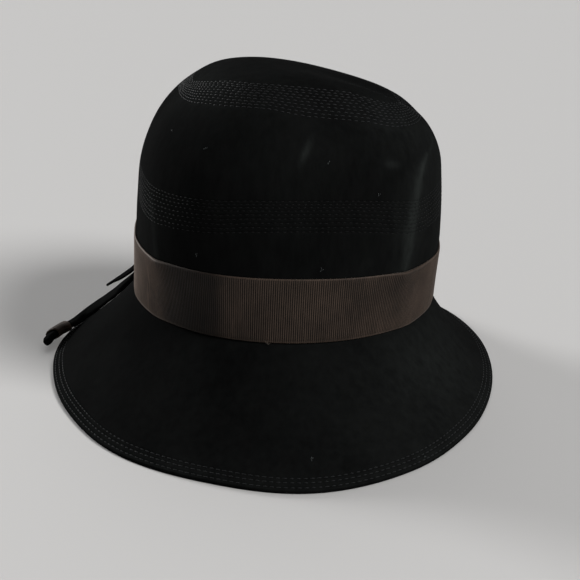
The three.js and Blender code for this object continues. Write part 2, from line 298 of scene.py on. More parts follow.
def crown_point(azimuth, place):
    azimuth, place = np.broadcast_arrays(np.asarray(azimuth, float), np.asarray(place, float))
    p = centripetal(oval_points(azimuth), place)
    z = p[..., 2]
    push = np.zeros_like(z)
    for fold_azimuth, spread, low, high, height in FOLDS:
        inside = window(z, (low - 10, low + 10), (high - 16, high + 10))
        push += height * inside * bell(signed(azimuth - fold_azimuth), spread)
    for crease_azimuths, heights, spread, height in CREASES:
        middle = np.interp(z, heights, crease_azimuths)
        start, end = heights[0], heights[-1]
        inside = window(z, (start - 3, start + 9), (end - 8, end + 5))
        push += height * inside * bell(signed(azimuth - middle), spread)
    p = p + outward(azimuth) * push[..., None]
    on_top = smoothstep(p[..., 2], 140, 160)
    for x, y, heading, along, across, depth in DENTS:
        c, s = math.cos(math.radians(heading)), math.sin(math.radians(heading))
        dx, dy = p[..., 0] - x, p[..., 1] - y
        p[..., 2] -= depth * on_top * bell(dx * c + dy * s, along) * bell(dy * c - dx * s, across)
    return p


def crown_normal(azimuth, place):
    along = crown_point(azimuth, place + 0.02) - crown_point(azimuth, place - 0.02)
    around = crown_point(azimuth + 1, place) - crown_point(azimuth - 1, place)
    return unit(np.cross(around, along))


def crown_offset(azimuth, place, distance):
    azimuth, place = np.broadcast_arrays(np.asarray(azimuth, float), np.asarray(place, float))
    normal = crown_normal(azimuth, np.maximum(place, 0.02))
    return crown_point(azimuth, place) + normal * np.asarray(distance)[..., None]


def rim_reach(azimuth):
    turn = (azimuth % 360) / RIM_STEP
    i = np.floor(turn).astype(int)
    t = turn - i
    a, b, c, d = (RIM_REACH[(i + k) % len(RIM_REACH)] for k in (-1, 0, 1, 2))
    squared = (2 * a - 5 * b + 4 * c - d) * t ** 2
    cubed = (3 * b - a - 3 * c + d) * t ** 3
    return 0.5 * (2 * b + (c - a) * t + squared + cubed)


def brim_root(azimuth):
    return crown_point(azimuth, 0) + np.array([0, 0, -JOIN_GAP - 0.2])


def rim_point(azimuth):
    p = outward(azimuth) * rim_reach(azimuth)[..., None]
    p[..., 2] = RIM_EDGE_HEIGHT
    return p


def brim_point(azimuth, down):
    azimuth, down = np.broadcast_arrays(np.asarray(azimuth, float), np.asarray(down, float))
    root, rim = brim_root(azimuth), rim_point(azimuth)
    chord, out = rim - root, outward(azimuth)
    under = unit(chord[..., 2:] * out - dot(chord, out) * np.array([0, 0, 1.0]))
    middle, spread, depth = SIDE_HOLLOW
    hollow = BRIM_HOLLOW + depth * bell(signed(azimuth - middle), spread)
    sink = hollow * 4 * down * (1 - down)
    return root + chord * down[..., None] + under * sink[..., None]


def brim_normal(azimuth, down):
    along = brim_point(azimuth, down + 0.01) - brim_point(azimuth, down - 0.01)
    around = brim_point(azimuth + 1, down) - brim_point(azimuth - 1, down)
    return unit(np.cross(along, around))


def brim_length(azimuth):
    return np.linalg.norm(rim_point(azimuth) - brim_root(azimuth), axis=-1)


# ---------------------------------------------------------------- placing

AROUND = np.arange(0, 360, 6.0)
RIM = rim_point(AROUND)
BRIM_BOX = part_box("brim")
ROW_SHIFT = np.array([
    (BRIM_BOX[0][k] + BRIM_BOX[1][k]) * 500 - (RIM[:, k].max() + RIM[:, k].min()) / 2 for k in (0, 1)
] + [0.0])


def metres(points):
    return (np.asarray(points) + ROW_SHIFT) / 1000


def even_azimuths(place, pitch, parts=1):
    """Azimuths that cut the crown's ring at a place into whole pitches, each in equal parts."""
    fine = np.linspace(-180, 180, 3601)
    run = running_length(crown_point(fine, np.full_like(fine, place)))
    count = round(run[-1] / pitch) * parts
    return np.interp(np.linspace(0, run[-1], count, endpoint=False), run, fine), run[-1]


# ---------------------------------------------------------------- mesh helpers

def make_object(name, points, faces, material, uv=None):
    mesh = bpy.data.meshes.new(name)
    mesh.from_pydata([tuple(p) for p in np.asarray(points, float)], [], faces)
    mesh.update()
    mesh.polygons.foreach_set("use_smooth", np.ones(len(mesh.polygons), bool))
    if uv is not None:
        layer = mesh.uv_layers.new(name="run")
        loop_vertices = np.zeros(len(mesh.loops), int)
        mesh.loops.foreach_get("vertex_index", loop_vertices)
        layer.data.foreach_set("uv", uv[loop_vertices].ravel())
    mesh.materials.append(material)
    obj = bpy.data.objects.new(name, mesh)
    bpy.context.scene.collection.objects.link(obj)
    return obj


def paint(obj, name, values):
    """Gives the first points of a mesh these values, and the rest 0."""
    filled = np.zeros(len(obj.data.vertices))
    filled[:values.size] = values.ravel()
    obj.data.attributes.new(name, "FLOAT", "POINT").data.foreach_set("value", filled)


def grid_faces(rows, columns, closed_rows):
    """Quads of a grid that closes on itself along its columns, and along its rows if asked."""
    faces = []
    for i in range(rows if closed_rows else rows - 1):
        a, b = i * columns, ((i + 1) % rows) * columns
        for j in range(columns):
            k = (j + 1) % columns
            faces.append((a + j, a + k, b + k, b + j))
    return faces


def outward_faces(points, faces):
    """The faces, turned over if they enclose a negative volume."""
    p = np.asarray(points)
    volume = 0.0
    for f in faces:
        for k in range(1, len(f) - 1):
            volume += np.dot(p[f[0]], np.cross(p[f[k]], p[f[k + 1]]))
    return [f[::-1] for f in faces] if volume < 0 else faces


def ring_shell(name, rings, material, uv=None):
    """A closed shell whose sections, a (section point, azimuth, 3) array, form a loop."""
    rings = np.asarray(rings)
    points = metres(rings.reshape(-1, 3))
    faces = outward_faces(points, grid_faces(rings.shape[0], rings.shape[1], True))
    return make_object(name, points, faces, material, uv)


def stitches(name, centres, along, normals, length, material):
    """Short thread stitches, each a small closed capsule whose ends dive into the felt."""
    centres, along, normals = map(np.concatenate, (centres, along, normals))
    radius = THREAD_RADIUS
    sides = 6
    spots = [(-0.5, 0.05), (-0.38, 0.75), (0.0, 1.0), (0.38, 0.75), (0.5, 0.05)]
    local = []
    for s, r in spots:
        for k in range(sides):
            angle = 2 * math.pi * k / sides
            local.append((s * length, math.cos(angle) * r * radius,
                          math.sin(angle) * r * radius - 4 * s * s * radius * 0.9))
    local = np.array(local)
    along = unit(along - dot(along, normals) * normals)
    side = np.cross(normals, along)
    jitter = 1 + RNG.uniform(-0.12, 0.12, (len(centres), 1, 1))
    points = (centres[:, None] + along[:, None] * local[None, :, :1] * jitter
              + side[:, None] * local[None, :, 1:2] + normals[:, None] * local[None, :, 2:])
    rings = len(spots)
    template = grid_faces(rings, sides, False)
    template += [tuple(range(sides))[::-1], tuple(range((rings - 1) * sides, rings * sides))]
    template = outward_faces(local, template)
    faces = [tuple(v + i * len(local) for v in f) for i in range(len(centres)) for f in template]
    return make_object(name, metres(points.reshape(-1, 3)), faces, material)


# ---------------------------------------------------------------- materials

def material(name):
    m = bpy.data.materials.new(name)
    m.use_nodes = True
    nodes = m.node_tree.nodes
    return m, nodes, m.node_tree.links, nodes["Principled BSDF"]


def noise(nodes, links, coordinates, scale, detail=3.0, roughness=0.5, stretch=(1, 1, 1)):
    mapping = nodes.new("ShaderNodeMapping")
    mapping.inputs["Scale"].default_value = stretch
    links.new(coordinates, mapping.inputs["Vector"])
    texture = nodes.new("ShaderNodeTexNoise")
    texture.inputs["Scale"].default_value = scale
    texture.inputs["Detail"].default_value = detail
    texture.inputs["Roughness"].default_value = roughness
    links.new(mapping.outputs["Vector"], texture.inputs["Vector"])
    return texture.outputs["Fac"]


def ramp(nodes, links, value, stops):
    node = nodes.new("ShaderNodeValToRGB")
    elements = node.color_ramp.elements
    while len(elements) < len(stops):
        elements.new(0.5)
    for element, (position, colour) in zip(elements, stops):
        element.position = position
        element.color = (*colour, 1)
    links.new(value, node.inputs["Fac"])
    return node.outputs["Color"]


def math_node(nodes, links, operation, a, b):
    node = nodes.new("ShaderNodeMath")
    node.operation = operation
    for socket, value in zip(node.inputs, (a, b)):
        if isinstance(value, (int, float)):
            socket.default_value = value
        else:
            links.new(value, socket)
    return node.outputs["Value"]


def map_range(nodes, links, value, to, source=(0.0, 1.0)):
    node = nodes.new("ShaderNodeMapRange")
    node.inputs["From Min"].default_value, node.inputs["From Max"].default_value = source
    node.inputs["To Min"].default_value, node.inputs["To Max"].default_value = to
    links.new(value, node.inputs["Value"])
    return node.outputs["Result"]


def multiplied(nodes, links, colour, factor):
    node = nodes.new("ShaderNodeMix")
    node.data_type = "RGBA"
    node.blend_type = "MULTIPLY"
    node.inputs["Factor"].default_value = 1.0
    links.new(colour, node.inputs["A"])
    links.new(factor, node.inputs["B"])
    return node.outputs["Result"]


def attribute(nodes, name):
    node = nodes.new("ShaderNodeAttribute")
    node.attribute_name = name
    return node.outputs["Fac"]


def set_sheen(surface, weight, roughness, tint=None):
    surface.inputs["Sheen Weight"].default_value = weight
    surface.inputs["Sheen Roughness"].default_value = roughness
    if tint:
        surface.inputs["Sheen Tint"].default_value = (*tint, 1)


def bump(nodes, links, height, strength, distance, normal=None):
    node = nodes.new("ShaderNodeBump")
    node.inputs["Strength"].default_value = strength
    node.inputs["Distance"].default_value = distance
    links.new(height, node.inputs["Height"])
    if normal is not None:
        links.new(normal, node.inputs["Normal"])
    return node.outputs["Normal"]


def velour(name, dark, light, marks=False):
    """Dense short nap: near black, matt, with brushed patches and a cool sheen."""
    m, nodes, links, surface = material(name)
    where = nodes.new("ShaderNodeTexCoord").outputs["Object"]
    patches = noise(nodes, links, where, 22, 4, 0.55, (1, 1, 0.45))
    brushed = noise(nodes, links, where, 260, 3, 0.6, (1, 1, 0.3))
    nap = noise(nodes, links, where, 2600, 2, 0.7)
    mixed = math_node(nodes, links, "MULTIPLY_ADD", patches, 0.62)
    links.new(math_node(nodes, links, "MULTIPLY", brushed, 0.38), mixed.node.inputs[2])
    half = tuple((a + b) / 2 for a, b in zip(dark, light))
    colour = ramp(nodes, links, mixed, [(0.32, dark), (0.52, half), (0.72, light)])
    # Blends in a lighter colour by a painted mask: rubbed nap and smudges, a painted highlight on the
    # creases, and painted light where the felt faces the lamps
    if marks:
        blend = nodes.new("ShaderNodeMix")
        blend.data_type = "RGBA"
        speckle = math_node(nodes, links, "MULTIPLY", brushed, 1.9)
        painted_light_and_wear = math_node(nodes, links, "MULTIPLY", attribute(nodes, "worn_and_painted_light"), speckle)
        links.new(painted_light_and_wear, blend.inputs["Factor"])
        links.new(colour, blend.inputs["A"])
        blend.inputs["B"].default_value = WEAR_AND_PAINTED_LIGHT_COLOUR
        colour = blend.outputs["Result"]
    links.new(colour, surface.inputs["Base Color"])
    links.new(map_range(nodes, links, brushed, (0.86, 1.0)), surface.inputs["Roughness"])
    surface.inputs["Specular IOR Level"].default_value = 0.004
    set_sheen(surface, 0.002, 0.4, (0.86, 0.88, 0.88))
    coarse = bump(nodes, links, brushed, 0.35, 0.00035)
    links.new(bump(nodes, links, nap, 0.5, 0.00012, coarse), surface.inputs["Normal"])
    return m


def grosgrain(name, dark, light):
    """Ribbed silk-like ribbon: the ribs are in the mesh, the fine threads are in here."""
    m, nodes, links, surface = material(name)
    where = nodes.new("ShaderNodeTexCoord").outputs["Object"]
    run = nodes.new("ShaderNodeUVMap")
    run.uv_map = "run"
    cloud = noise(nodes, links, where, 45, 4, 0.55)
    threads = noise(nodes, links, run.outputs["UV"], 900, 2, 0.5, (1, 0.12, 1))
    picks = noise(nodes, links, run.outputs["UV"], 5200, 1, 0.5, (0.25, 1, 1))
    mixed = math_node(nodes, links, "MULTIPLY_ADD", cloud, 0.55)
    links.new(math_node(nodes, links, "MULTIPLY", threads, 0.45), mixed.node.inputs[2])
    colour = ramp(nodes, links, mixed, [(0.34, dark), (0.68, light)])
    # Painted shade in the grooves between the ribs: the colour is darkened where the mesh is hollow
    pointed = nodes.new("ShaderNodeNewGeometry").outputs["Pointiness"]
    groove_shade = map_range(nodes, links, pointed, (0.04, 1.0), (0.465, 0.53))
    # Painted highlight and painted shade on the ribbon: its colour is scaled by one plus the value painted
    # round the band
    tone = math_node(nodes, links, "ADD", attribute(nodes, "painted_ribbon_light"), 1.0)
    shaded = multiplied(nodes, links, colour, groove_shade)
    links.new(multiplied(nodes, links, shaded, tone), surface.inputs["Base Color"])
    links.new(map_range(nodes, links, threads, (0.46, 0.64)), surface.inputs["Roughness"])
    surface.inputs["Specular IOR Level"].default_value = 0.14
    set_sheen(surface, 0.05, 0.45, (0.95, 0.88, 0.82))
    links.new(bump(nodes, links, picks, 0.4, 0.00006), surface.inputs["Normal"])
    return m


def thread(name, colour, gloss=0.3):
    m, nodes, links, surface = material(name)
    where = nodes.new("ShaderNodeTexCoord").outputs["Object"]
    twist = noise(nodes, links, where, 1800, 2, 0.5)
    shadowed = tuple(c * 0.6 for c in colour)
    tone = ramp(nodes, links, twist, [(0.3, shadowed), (0.7, colour)])
    links.new(tone, surface.inputs["Base Color"])
    surface.inputs["Roughness"].default_value = 0.45
    surface.inputs["Specular IOR Level"].default_value = gloss
    set_sheen(surface, 0.04, 0.4)
    links.new(bump(nodes, links, twist, 0.4, 0.00005), surface.inputs["Normal"])
    return m


FELT_DARK = (0.0028, 0.0029, 0.0029)
FELT_LIGHT = (0.0066, 0.0070, 0.0068)
# Lighter colour for rubbed nap and for painted light on the felt
WEAR_AND_PAINTED_LIGHT_COLOUR = (0.016, 0.018, 0.017, 1)
FELT_MATERIAL = velour("velour_felt", FELT_DARK, FELT_LIGHT)
CROWN_MATERIAL = velour("velour_crown", FELT_DARK, FELT_LIGHT, marks=True)
RIBBON_MATERIAL = grosgrain("grosgrain", (0.028, 0.0195, 0.0145), (0.068, 0.0465, 0.0345))
THREAD_MATERIAL = thread("black_thread", (0.0175, 0.0182, 0.0192), 0.10)
# Painted shade: a darker, less glossy copy of the black thread for the lower band, which catches less of
# the top lamp
SHADED_THREAD_MATERIAL = thread("black_thread_painted_shade", (0.0072, 0.0074, 0.0075), 0.05)
LINT_MATERIAL = thread("pale_lint", (0.10, 0.11, 0.11))
HAIR_MATERIAL = thread("frayed_thread", (0.09, 0.07, 0.055))

# ---------------------------------------------------------------- pieces

def band_edges(band, azimuth):
    """The places of a stitched band's lower and upper edge."""
    return [np.interp(signed(azimuth), BAND_AZIMUTHS, band[edge]) for edge in ("low", "high")]


def follow_bands(azimuth, place):
    """Places moved so that a ring at a band's middle height keeps to that band all round."""
    knots = [np.zeros_like(azimuth), np.full_like(azimuth, LEVEL_PLACES[0])]
    marks = [0.0, LEVEL_PLACES[0]]
    for band, above in zip(CROWN_STITCHING, LEVEL_PLACES[1:]):
        knots += [*band_edges(band, azimuth), np.full_like(azimuth, above)]
        marks += [*band["middle"], above]
    knots.append(np.full_like(azimuth, float(TIP_PLACE)))
    marks.append(float(TIP_PLACE))
    moved = np.array(place, float)
    for i in range(len(marks) - 1):
        share = (place - marks[i]) / (marks[i + 1] - marks[i])
        inside = (place >= marks[i]) & (place <= marks[i + 1])
        moved = np.where(inside, knots[i] * (1 - share) + knots[i + 1] * share, moved)
    return moved


def quilted(place):
    """How far the stitched rows pull the felt in, at places counted at the crown's front."""
    pull = np.zeros_like(place)
    for band in CROWN_STITCHING:
        low, high = band["middle"]
        step = (high - low) / (band["rows"] - 1)
        inside = window(place, (low - step, low), (high, high + step))
        row = (place - low) / step
        pull += inside * (0.5 + 0.5 * np.cos(2 * np.pi * row))
    return pull


def unevenness(points):
    """Slow waves of a hand-blocked surface, a few tenths of a millimetre high."""
    x, y, z = (points[..., k] for k in range(3))
    return (0.22 * np.sin(x / 17 + 1.1) * np.sin(z / 23 + 0.4)
            + 0.16 * np.sin(y / 13 + z / 19 + 2.0) + 0.10 * np.sin(x / 7.3 - y / 9.1 + z / 11))


def wear_and_painted_light(azimuth, place, points):
    """How much lighter colour the crown's nap gets: a painted highlight with rubbed nap along the creases,
    rubbed marks, and painted light in broad stretches.
    """
    z = points[..., 2]
    total = np.zeros_like(z)
    for (crease_azimuths, heights, spread, _), strength in zip(CREASES, CREASE_HIGHLIGHT_AND_WEAR):
        middle = np.interp(z, heights, crease_azimuths)
        start, end = heights[0], heights[-1]
        inside = window(z, (start - 2, start + 6), (end - 8, end + 4))
        turn = signed(azimuth - middle)
        total += strength * inside * (bell(turn, spread * 0.8) + 0.35 * bell(turn, spread * 2.6))
    for mark_azimuth, mark_place, half_length, half_width, turn, strength in SMUDGES:
        middle = crown_point(mark_azimuth, mark_place)
        upright = unit(crown_point(mark_azimuth, mark_place + 0.05) - middle)
        level = unit(crown_point(mark_azimuth + 0.5, mark_place) - middle)
        c, s = math.cos(math.radians(turn)), math.sin(math.radians(turn))
        x, y = dot(points - middle, level)[..., 0], dot(points - middle, upright)[..., 0]
        mark = bell(x * c - y * s, half_width) * bell(y * c + x * s, half_length)
        total += strength * mark * bell(signed(azimuth - mark_azimuth), 20)
    for middle_azimuth, middle_place, spread, place_spread, strength in CROWN_PAINTED_LIGHT:
        beside = bell(signed(azimuth - middle_azimuth), spread)
        total += strength * beside * bell(place - middle_place, place_spread)
    return total


def crown_piece():
    places = [FOOT, 0.35, UPSTAND_TOP, 0.75, RIBBON_TOP, 1.15, 1.4, 1.7]
    for band in CROWN_STITCHING:
        low, high = band["middle"]
        step = (high - low) / (band["rows"] - 1)
        places += list(np.arange(low - step, high + step * 1.01, step / 4))
    places += list(np.arange(1.9, 2.3, 0.1)) + list(np.arange(3.6, 6.35, 0.11))
    places += list(np.arange(8.15, TIP_PLACE - 0.1, 0.14))
    places = np.array(sorted(places))
    places = places[np.concatenate([[True], np.diff(places) > 0.012])]
    azimuths = np.arange(0, 360, 0.9)
    grid_azimuth, grid_place = np.meshgrid(azimuths, places)
    moved = follow_bands(grid_azimuth, grid_place)
    base = crown_point(grid_azimuth, moved)
    above_ribbon = window(grid_place, (1.1, 1.6), (10.2, 10.9))
    distance = above_ribbon * (unevenness(base) - STITCH_GROOVE * quilted(grid_place))
    outside = crown_offset(grid_azimuth, moved, distance)
    inner_places = np.concatenate([[FOOT, UPSTAND_TOP, 0.8], np.arange(1.2, TIP_PLACE - 0.2, 0.25)])
    inner_azimuth, inner_place = np.meshgrid(azimuths, inner_places)
    inside = crown_offset(inner_azimuth, inner_place, np.full(inner_place.shape, -FELT))
    tip = crown_point(np.zeros(1), np.full(1, float(TIP_PLACE)))[0]
    columns = len(azimuths)
    rings = np.concatenate([outside[::-1], inside])
    points = list(rings.reshape(-1, 3)) + [tip, tip - np.array([0, 0, FELT])]
    faces = grid_faces(len(rings), columns, False)
    top, under = len(points) - 2, len(points) - 1
    last = (len(rings) - 1) * columns
    for j in range(columns):
        k = (j + 1) % columns
        faces.append((top, k, j))
        faces.append((under, last + j, last + k))
    points = metres(np.array(points))
    piece = make_object("crown_felt", points, outward_faces(points, faces), CROWN_MATERIAL)
    paint(piece, "worn_and_painted_light", wear_and_painted_light(grid_azimuth, moved, base)[::-1])
    return piece


def brim_piece():
    azimuths = np.arange(0, 360, 1.0)
    length = brim_length(azimuths)
    out = outward(azimuths)
    collar_inset = FELT + JOIN_GAP

    def collar(place, depth):
        inwards = np.full_like(azimuths, -collar_inset - depth)
        return crown_offset(azimuths, np.full_like(azimuths, place), inwards)

    slope = unit(brim_point(azimuths, 0.01) - brim_point(azimuths, 0.0))
    corner = brim_point(azimuths, 0.0) - slope * collar_inset / dot(slope, out)
    bend_top, bend_end = collar(FOOT, 0), corner + slope * BREAK_ROUNDING

    def bend(t):
        return (1 - t) ** 2 * bend_top + 2 * t * (1 - t) * corner + t ** 2 * bend_end

    def upper(down):
        down = np.broadcast_to(down, azimuths.shape)
        p = brim_point(azimuths, down)
        inset = (1 - down) * length
        groove = sum(bell(inset - s, 0.45) for s in BRIM_STITCH_INSETS) * STITCH_GROOVE
        wave = unevenness(p) * 0.8 * window(down, (0.06, 0.2), (0.9, 1.0))
        return p + brim_normal(azimuths, down) * (wave - groove)[:, None]

    def below(down, wall):
        down = np.broadcast_to(down, azimuths.shape)
        return brim_point(azimuths, down) - brim_normal(azimuths, down) * wall

    rim = rim_reach(azimuths)

    def at_rim(reach, z):
        p = out * reach[:, None]
        p[:, 2] = z
        return p

    collar_middle = (FOOT + UPSTAND_TOP) / 2
    sections = [collar(UPSTAND_TOP, 0), collar(collar_middle, 0)]
    sections += [bend(t) for t in (0, 0.25, 0.5, 0.75, 1)]
    uppers = [np.full_like(azimuths, d) for d in np.linspace(0.06, 0.8, 26)]
    insets = [10.5, 9.3, 8.3, 3.0, 0.0]
    groove = (-1.0, -0.65, -0.4, -0.2, 0.0, 0.2, 0.4, 0.65, 1.0)
    insets += [inset + step for inset in BRIM_STITCH_INSETS for step in groove]
    uppers += [1 - inset / length for inset in sorted(insets, reverse=True)]
    upper_rows = slice(len(sections), len(sections) + len(uppers))
    sections += [upper(down) for down in uppers]
    rounding = ((-0.02, 1.5), (0.05, 0.9), (0.2, 0.35), (RIM_ROUNDING, 0), (2.0, 0))
    sections += [at_rim(rim - inset, z) for inset, z in rounding]
    sections.append(at_rim(rim - RIM_ROUNDING - RIM_FLAT, 0))
    hem = 1 - HEM_WIDTH / length
    hem_edge = ((0.07, HEM_WALL), (0.02, HEM_WALL), (0.012, HEM_WALL - 0.2), (0.006, FELT + 0.3))
    sections += [below(hem + step, wall) for step, wall in hem_edge]
    sections.append(below(hem, FELT))
    sections += [below(d, FELT) for d in np.linspace(0.74, 0.06, 18)]
    inner_bend = bend(0.5) - out * UPSTAND_WALL + np.array([0, 0, -0.6])
    sections.append(inner_bend)
    sections += [collar(place, UPSTAND_WALL) for place in (FOOT, collar_middle, UPSTAND_TOP)]
    piece = ring_shell("brim_felt", np.array(sections), CROWN_MATERIAL)
    # Painted light on the brim's right side, and a lighter stretch along the front of the rim
    worn_and_painted_light = np.zeros((len(sections), len(azimuths)))
    for middle, middle_down, spread, down_spread, strength in BRIM_LIGHTER_STRETCHES:
        beside = bell(signed(azimuths - middle), spread)
        worn_and_painted_light[upper_rows] += strength * beside * bell(np.array(uppers) - middle_down, down_spread)
    paint(piece, "worn_and_painted_light", worn_and_painted_light)
    return piece


def band_piece():
    azimuths, run = even_azimuths(0.5, RIB_PITCH, len(RIB_SHAPE))
    rib = np.tile(RIB_SHAPE, len(azimuths) // len(RIB_SHAPE))
    lap = window(azimuths, *((end - 0.4, end + 0.4) for end in LAP))
    turn = np.radians(azimuths)
    slack = 0.12 * np.sin(turn * 9 + 0.7) + 0.08 * np.sin(turn * 23 + 2.1)
    places = [0.0, 0.012, 0.03, 0.05, 0.08, 0.2, 0.35, 0.5, 0.65, 0.8, 0.92, 0.95, 0.97, 0.988, 1.0]
    sections, across = [], []
    for place in places:
        edge = min(place, RIBBON_TOP - place)
        selvedge = 0.16 * bell(edge - 0.014, 0.012)
        ribbed = rib * RIB_HEIGHT * (1 if 0.04 <= place <= 0.96 else 0.3)
        rounding = -0.25 if edge == 0 else 0.0
        scallop = 0.004 * (rib - 0.5) if edge == 0 else 0
        distance = JOIN_GAP + RIBBON_THICKNESS - RIB_HEIGHT + ribbed + selvedge + rounding + lap * 0.55
        distance = distance + (slack + 0.2) * 0.6 * (0.4 + 0.6 * abs(2 * place - 1))
        for corner, spread, height in RIBBON_CORNERS:
            middle = corner + 6.0 * (1 - place) * math.copysign(1, corner)
            distance = distance + height * bell(signed(azimuths - middle), spread)
        sections.append(crown_offset(azimuths, np.clip(place - scallop, -0.004, None), distance))
        across.append(place)
    on_felt = np.full_like(azimuths, JOIN_GAP)
    for place in places[::-3] + [0.0]:
        sections.append(crown_offset(azimuths, np.full_like(azimuths, place), on_felt))
        across.append(place)
    along = np.linspace(0, run / 1000, len(azimuths), endpoint=False)
    height = np.array(across) * RIBBON_WIDTH / 1000
    uv = np.stack([np.tile(along, len(sections)), np.repeat(height, len(along))], -1)
    piece = ring_shell("ribbon_band", np.array(sections), RIBBON_MATERIAL, uv)
    # Painted light: a painted highlight on the ribbon's far left and painted shade on its front left
    paint(piece, "painted_ribbon_light", np.tile(np.interp(signed(azimuths), *RIBBON_PAINTED_LIGHT), len(sections)))
    return piece, run / 1000


def row_at(rows, place):
    i = np.clip(np.floor(place).astype(int), 0, len(rows) - 2)
    t = (place - i)[:, None]
    return rows[i] * (1 - t) + rows[i + 1] * t


def strip_frame(rows, place, tilt=0.0):
    """Middles, across and up directions of a tie's strip at places counted in its rows."""
    middles = brim_point(rows[:, 0], rows[:, 1]) + outward(rows[:, 0]) * rows[:, 2:3]
    middles[:, 2] += rows[:, 3]

    def at(p):
        return centripetal(np.broadcast_to(middles, (len(p), *middles.shape)), p)

    forwards = unit(at(np.minimum(place + 0.03, len(rows) - 1)) - at(np.maximum(place - 0.03, 0)))
    reference = outward(row_at(rows, place)[:, 0]) + np.array([0, 0, 1.0])
    across = unit(np.cross(reference, forwards))
    up = unit(np.cross(forwards, across))
    c, s = np.cos(np.radians(tilt))[..., None], np.sin(np.radians(tilt))[..., None]
    return at(place), across * c - up * s, up * c + across * s


def strip_piece(name, rows, tilts, lies_to=None):
    """A felt strip with softly rounded long edges; up to place lies_to it lies on the brim."""
    sides, steps, squareness = 24, 12, 4.0
    place = np.linspace(0, len(rows) - 1, (len(rows) - 1) * steps + 1)
    tilt = np.interp(place, *tilts)
    middle, across, up = strip_frame(rows, place, tilt)
    size = row_at(rows, place)
    angle = np.linspace(0, 2 * np.pi, sides, endpoint=False)
    c, s = np.cos(angle), np.sin(angle)
    scale = (np.abs(c) ** squareness + np.abs(s) ** squareness) ** (-1 / squareness)
    wobble = 1 + 0.03 * np.sin(place * 2.7)[:, None] + 0.015 * np.sin(place * 7.1)[:, None]
    aside = size[:, 4:5] / 2 * (c * scale)[None] * wobble
    height = size[:, 5:6] / 2 * (s * scale)[None] * 0.98
    rings = middle[:, None] + across[:, None] * aside[..., None] + up[:, None] * height[..., None]
    if lies_to is not None:
        radius = np.linalg.norm(middle[:, :2], axis=1)[:, None]
        share = smoothstep(place, lies_to - 0.6, lies_to + 0.9)[:, None, None]
        turned = size[:, 0:1] + np.degrees(aside / radius)
        down = np.broadcast_to(size[:, 1:2], turned.shape)
        raised = (size[:, 4:5] * 0.52 - aside) * np.sin(np.radians(tilt))[:, None]
        curled = CURLED * smoothstep(aside / size[:, 4:5], 0.05, 0.45)
        lift = (JOIN_GAP - NESTLED + size[:, 5:6] / 2 + height + raised - curled)[..., None]
        lying = brim_point(turned, down) + brim_normal(turned, down) * lift
        rings = lying * (1 - share) + rings * share
    points = np.concatenate([rings.reshape(-1, 3), rings[0].mean(0)[None], rings[-1].mean(0)[None]])
    faces = grid_faces(len(rings), sides, False)
    start, end, last = len(points) - 2, len(points) - 1, (len(rings) - 1) * sides
    for j in range(sides):
        k = (j + 1) % sides
        faces.append((start, k, j))
        faces.append((end, last + j, last + k))
    points = metres(points)
    return make_object(name, points, outward_faces(points, faces), FELT_MATERIAL)


def wrap_piece():
    """Ribbon wound once round the long tie, its end lapped over its start."""
    sides, steps = 48, 14
    place = np.linspace(WRAP_FROM, WRAP_TO, steps)
    middle, across, up = strip_frame(LONG_TIE_ROWS, place, np.interp(place, *LONG_TIE_TILT))
    size = row_at(LONG_TIE_ROWS, place)
    angle = np.linspace(0, 2 * np.pi, sides, endpoint=False)
    c, s = np.cos(angle), np.sin(angle)
    scale = (np.abs(c) ** 3 + np.abs(s) ** 3) ** (-1 / 3)
    lapped = 0.3 * window(angle, (0.6, 0.75), (2.0, 2.15))
    ribbed = 0.09 * np.cos(angle * sides / 4)

    def skin(grow):
        width = (size[:, 4:5] / 2 + grow) * (c * scale)[None]
        thick = (size[:, 5:6] / 2 + grow) * (s * scale)[None]
        return middle[:, None] + across[:, None] * width[..., None] + up[:, None] * thick[..., None]

    rings = np.concatenate([skin(WRAP_GAP * 0.5), skin(WRAP_GAP + 0.25 + lapped + ribbed)[::-1]])
    perimeter = running_length(rings[-1])[-1] / 1000
    width = running_length(middle)[-1] / 1000
    along = np.tile(np.linspace(0, perimeter, sides), len(rings))
    uv = np.stack([along, np.repeat(np.linspace(0, 2 * width, len(rings)), sides)], -1)
    return ring_shell("ribbon_wrap", rings, RIBBON_MATERIAL, uv), width, perimeter


def crown_stitches(band, material):
    """Rows of running stitches round the crown, each row shifted half a stitch."""
    centres, along, normals = [], [], []
    for row, middle_place in enumerate(np.linspace(*band["middle"], band["rows"])):
        azimuths, _ = even_azimuths(middle_place, band["pitch"])
        count = len(azimuths)
        azimuths = azimuths + (row % 2) * 180 / count + RNG.uniform(-0.12, 0.12, count)

        def at(turned):
            return follow_bands(turned, np.full_like(turned, middle_place))

        places = at(azimuths) + RNG.normal(0, 0.006, count)
        normal = crown_normal(azimuths, places)
        base = crown_point(azimuths, places)
        sunk = np.interp(signed(azimuths), *band["sunk"])
        proud = THREAD_RADIUS * 0.7 - STITCH_GROOVE - sunk
        centres.append(base + normal * (unevenness(base) + proud)[:, None])
        normals.append(normal)
        before, after = azimuths - 0.5, azimuths + 0.5
        along.append(unit(crown_point(after, at(after)) - crown_point(before, at(before))))
    return stitches(band["name"], centres, along, normals, band["pitch"] * 0.7, material)


def brim_stitches():
    centres, along, normals = [], [], []
    for row, inset in enumerate(BRIM_STITCH_INSETS):
        fine = np.linspace(-180, 180, 3601)
        line = brim_point(fine, 1 - inset / brim_length(fine))
        run = running_length(line)
        count = round(run[-1] / BRIM_STITCH_PITCH)
        azimuths = np.interp((np.arange(count) + 0.5 * (row % 2)) * run[-1] / count, run, fine)
        down = 1 - inset / brim_length(azimuths)
        base = brim_point(azimuths, down)
        normal = brim_normal(azimuths, down)
        centres.append(base + normal * (THREAD_RADIUS * 0.7 - STITCH_GROOVE))
        normals.append(normal)
        along.append(unit(brim_point(azimuths + 0.5, down) - brim_point(azimuths - 0.5, down)))
    length = BRIM_STITCH_PITCH * 0.65
    return stitches("stitches_brim", centres, along, normals, length, THREAD_MATERIAL)


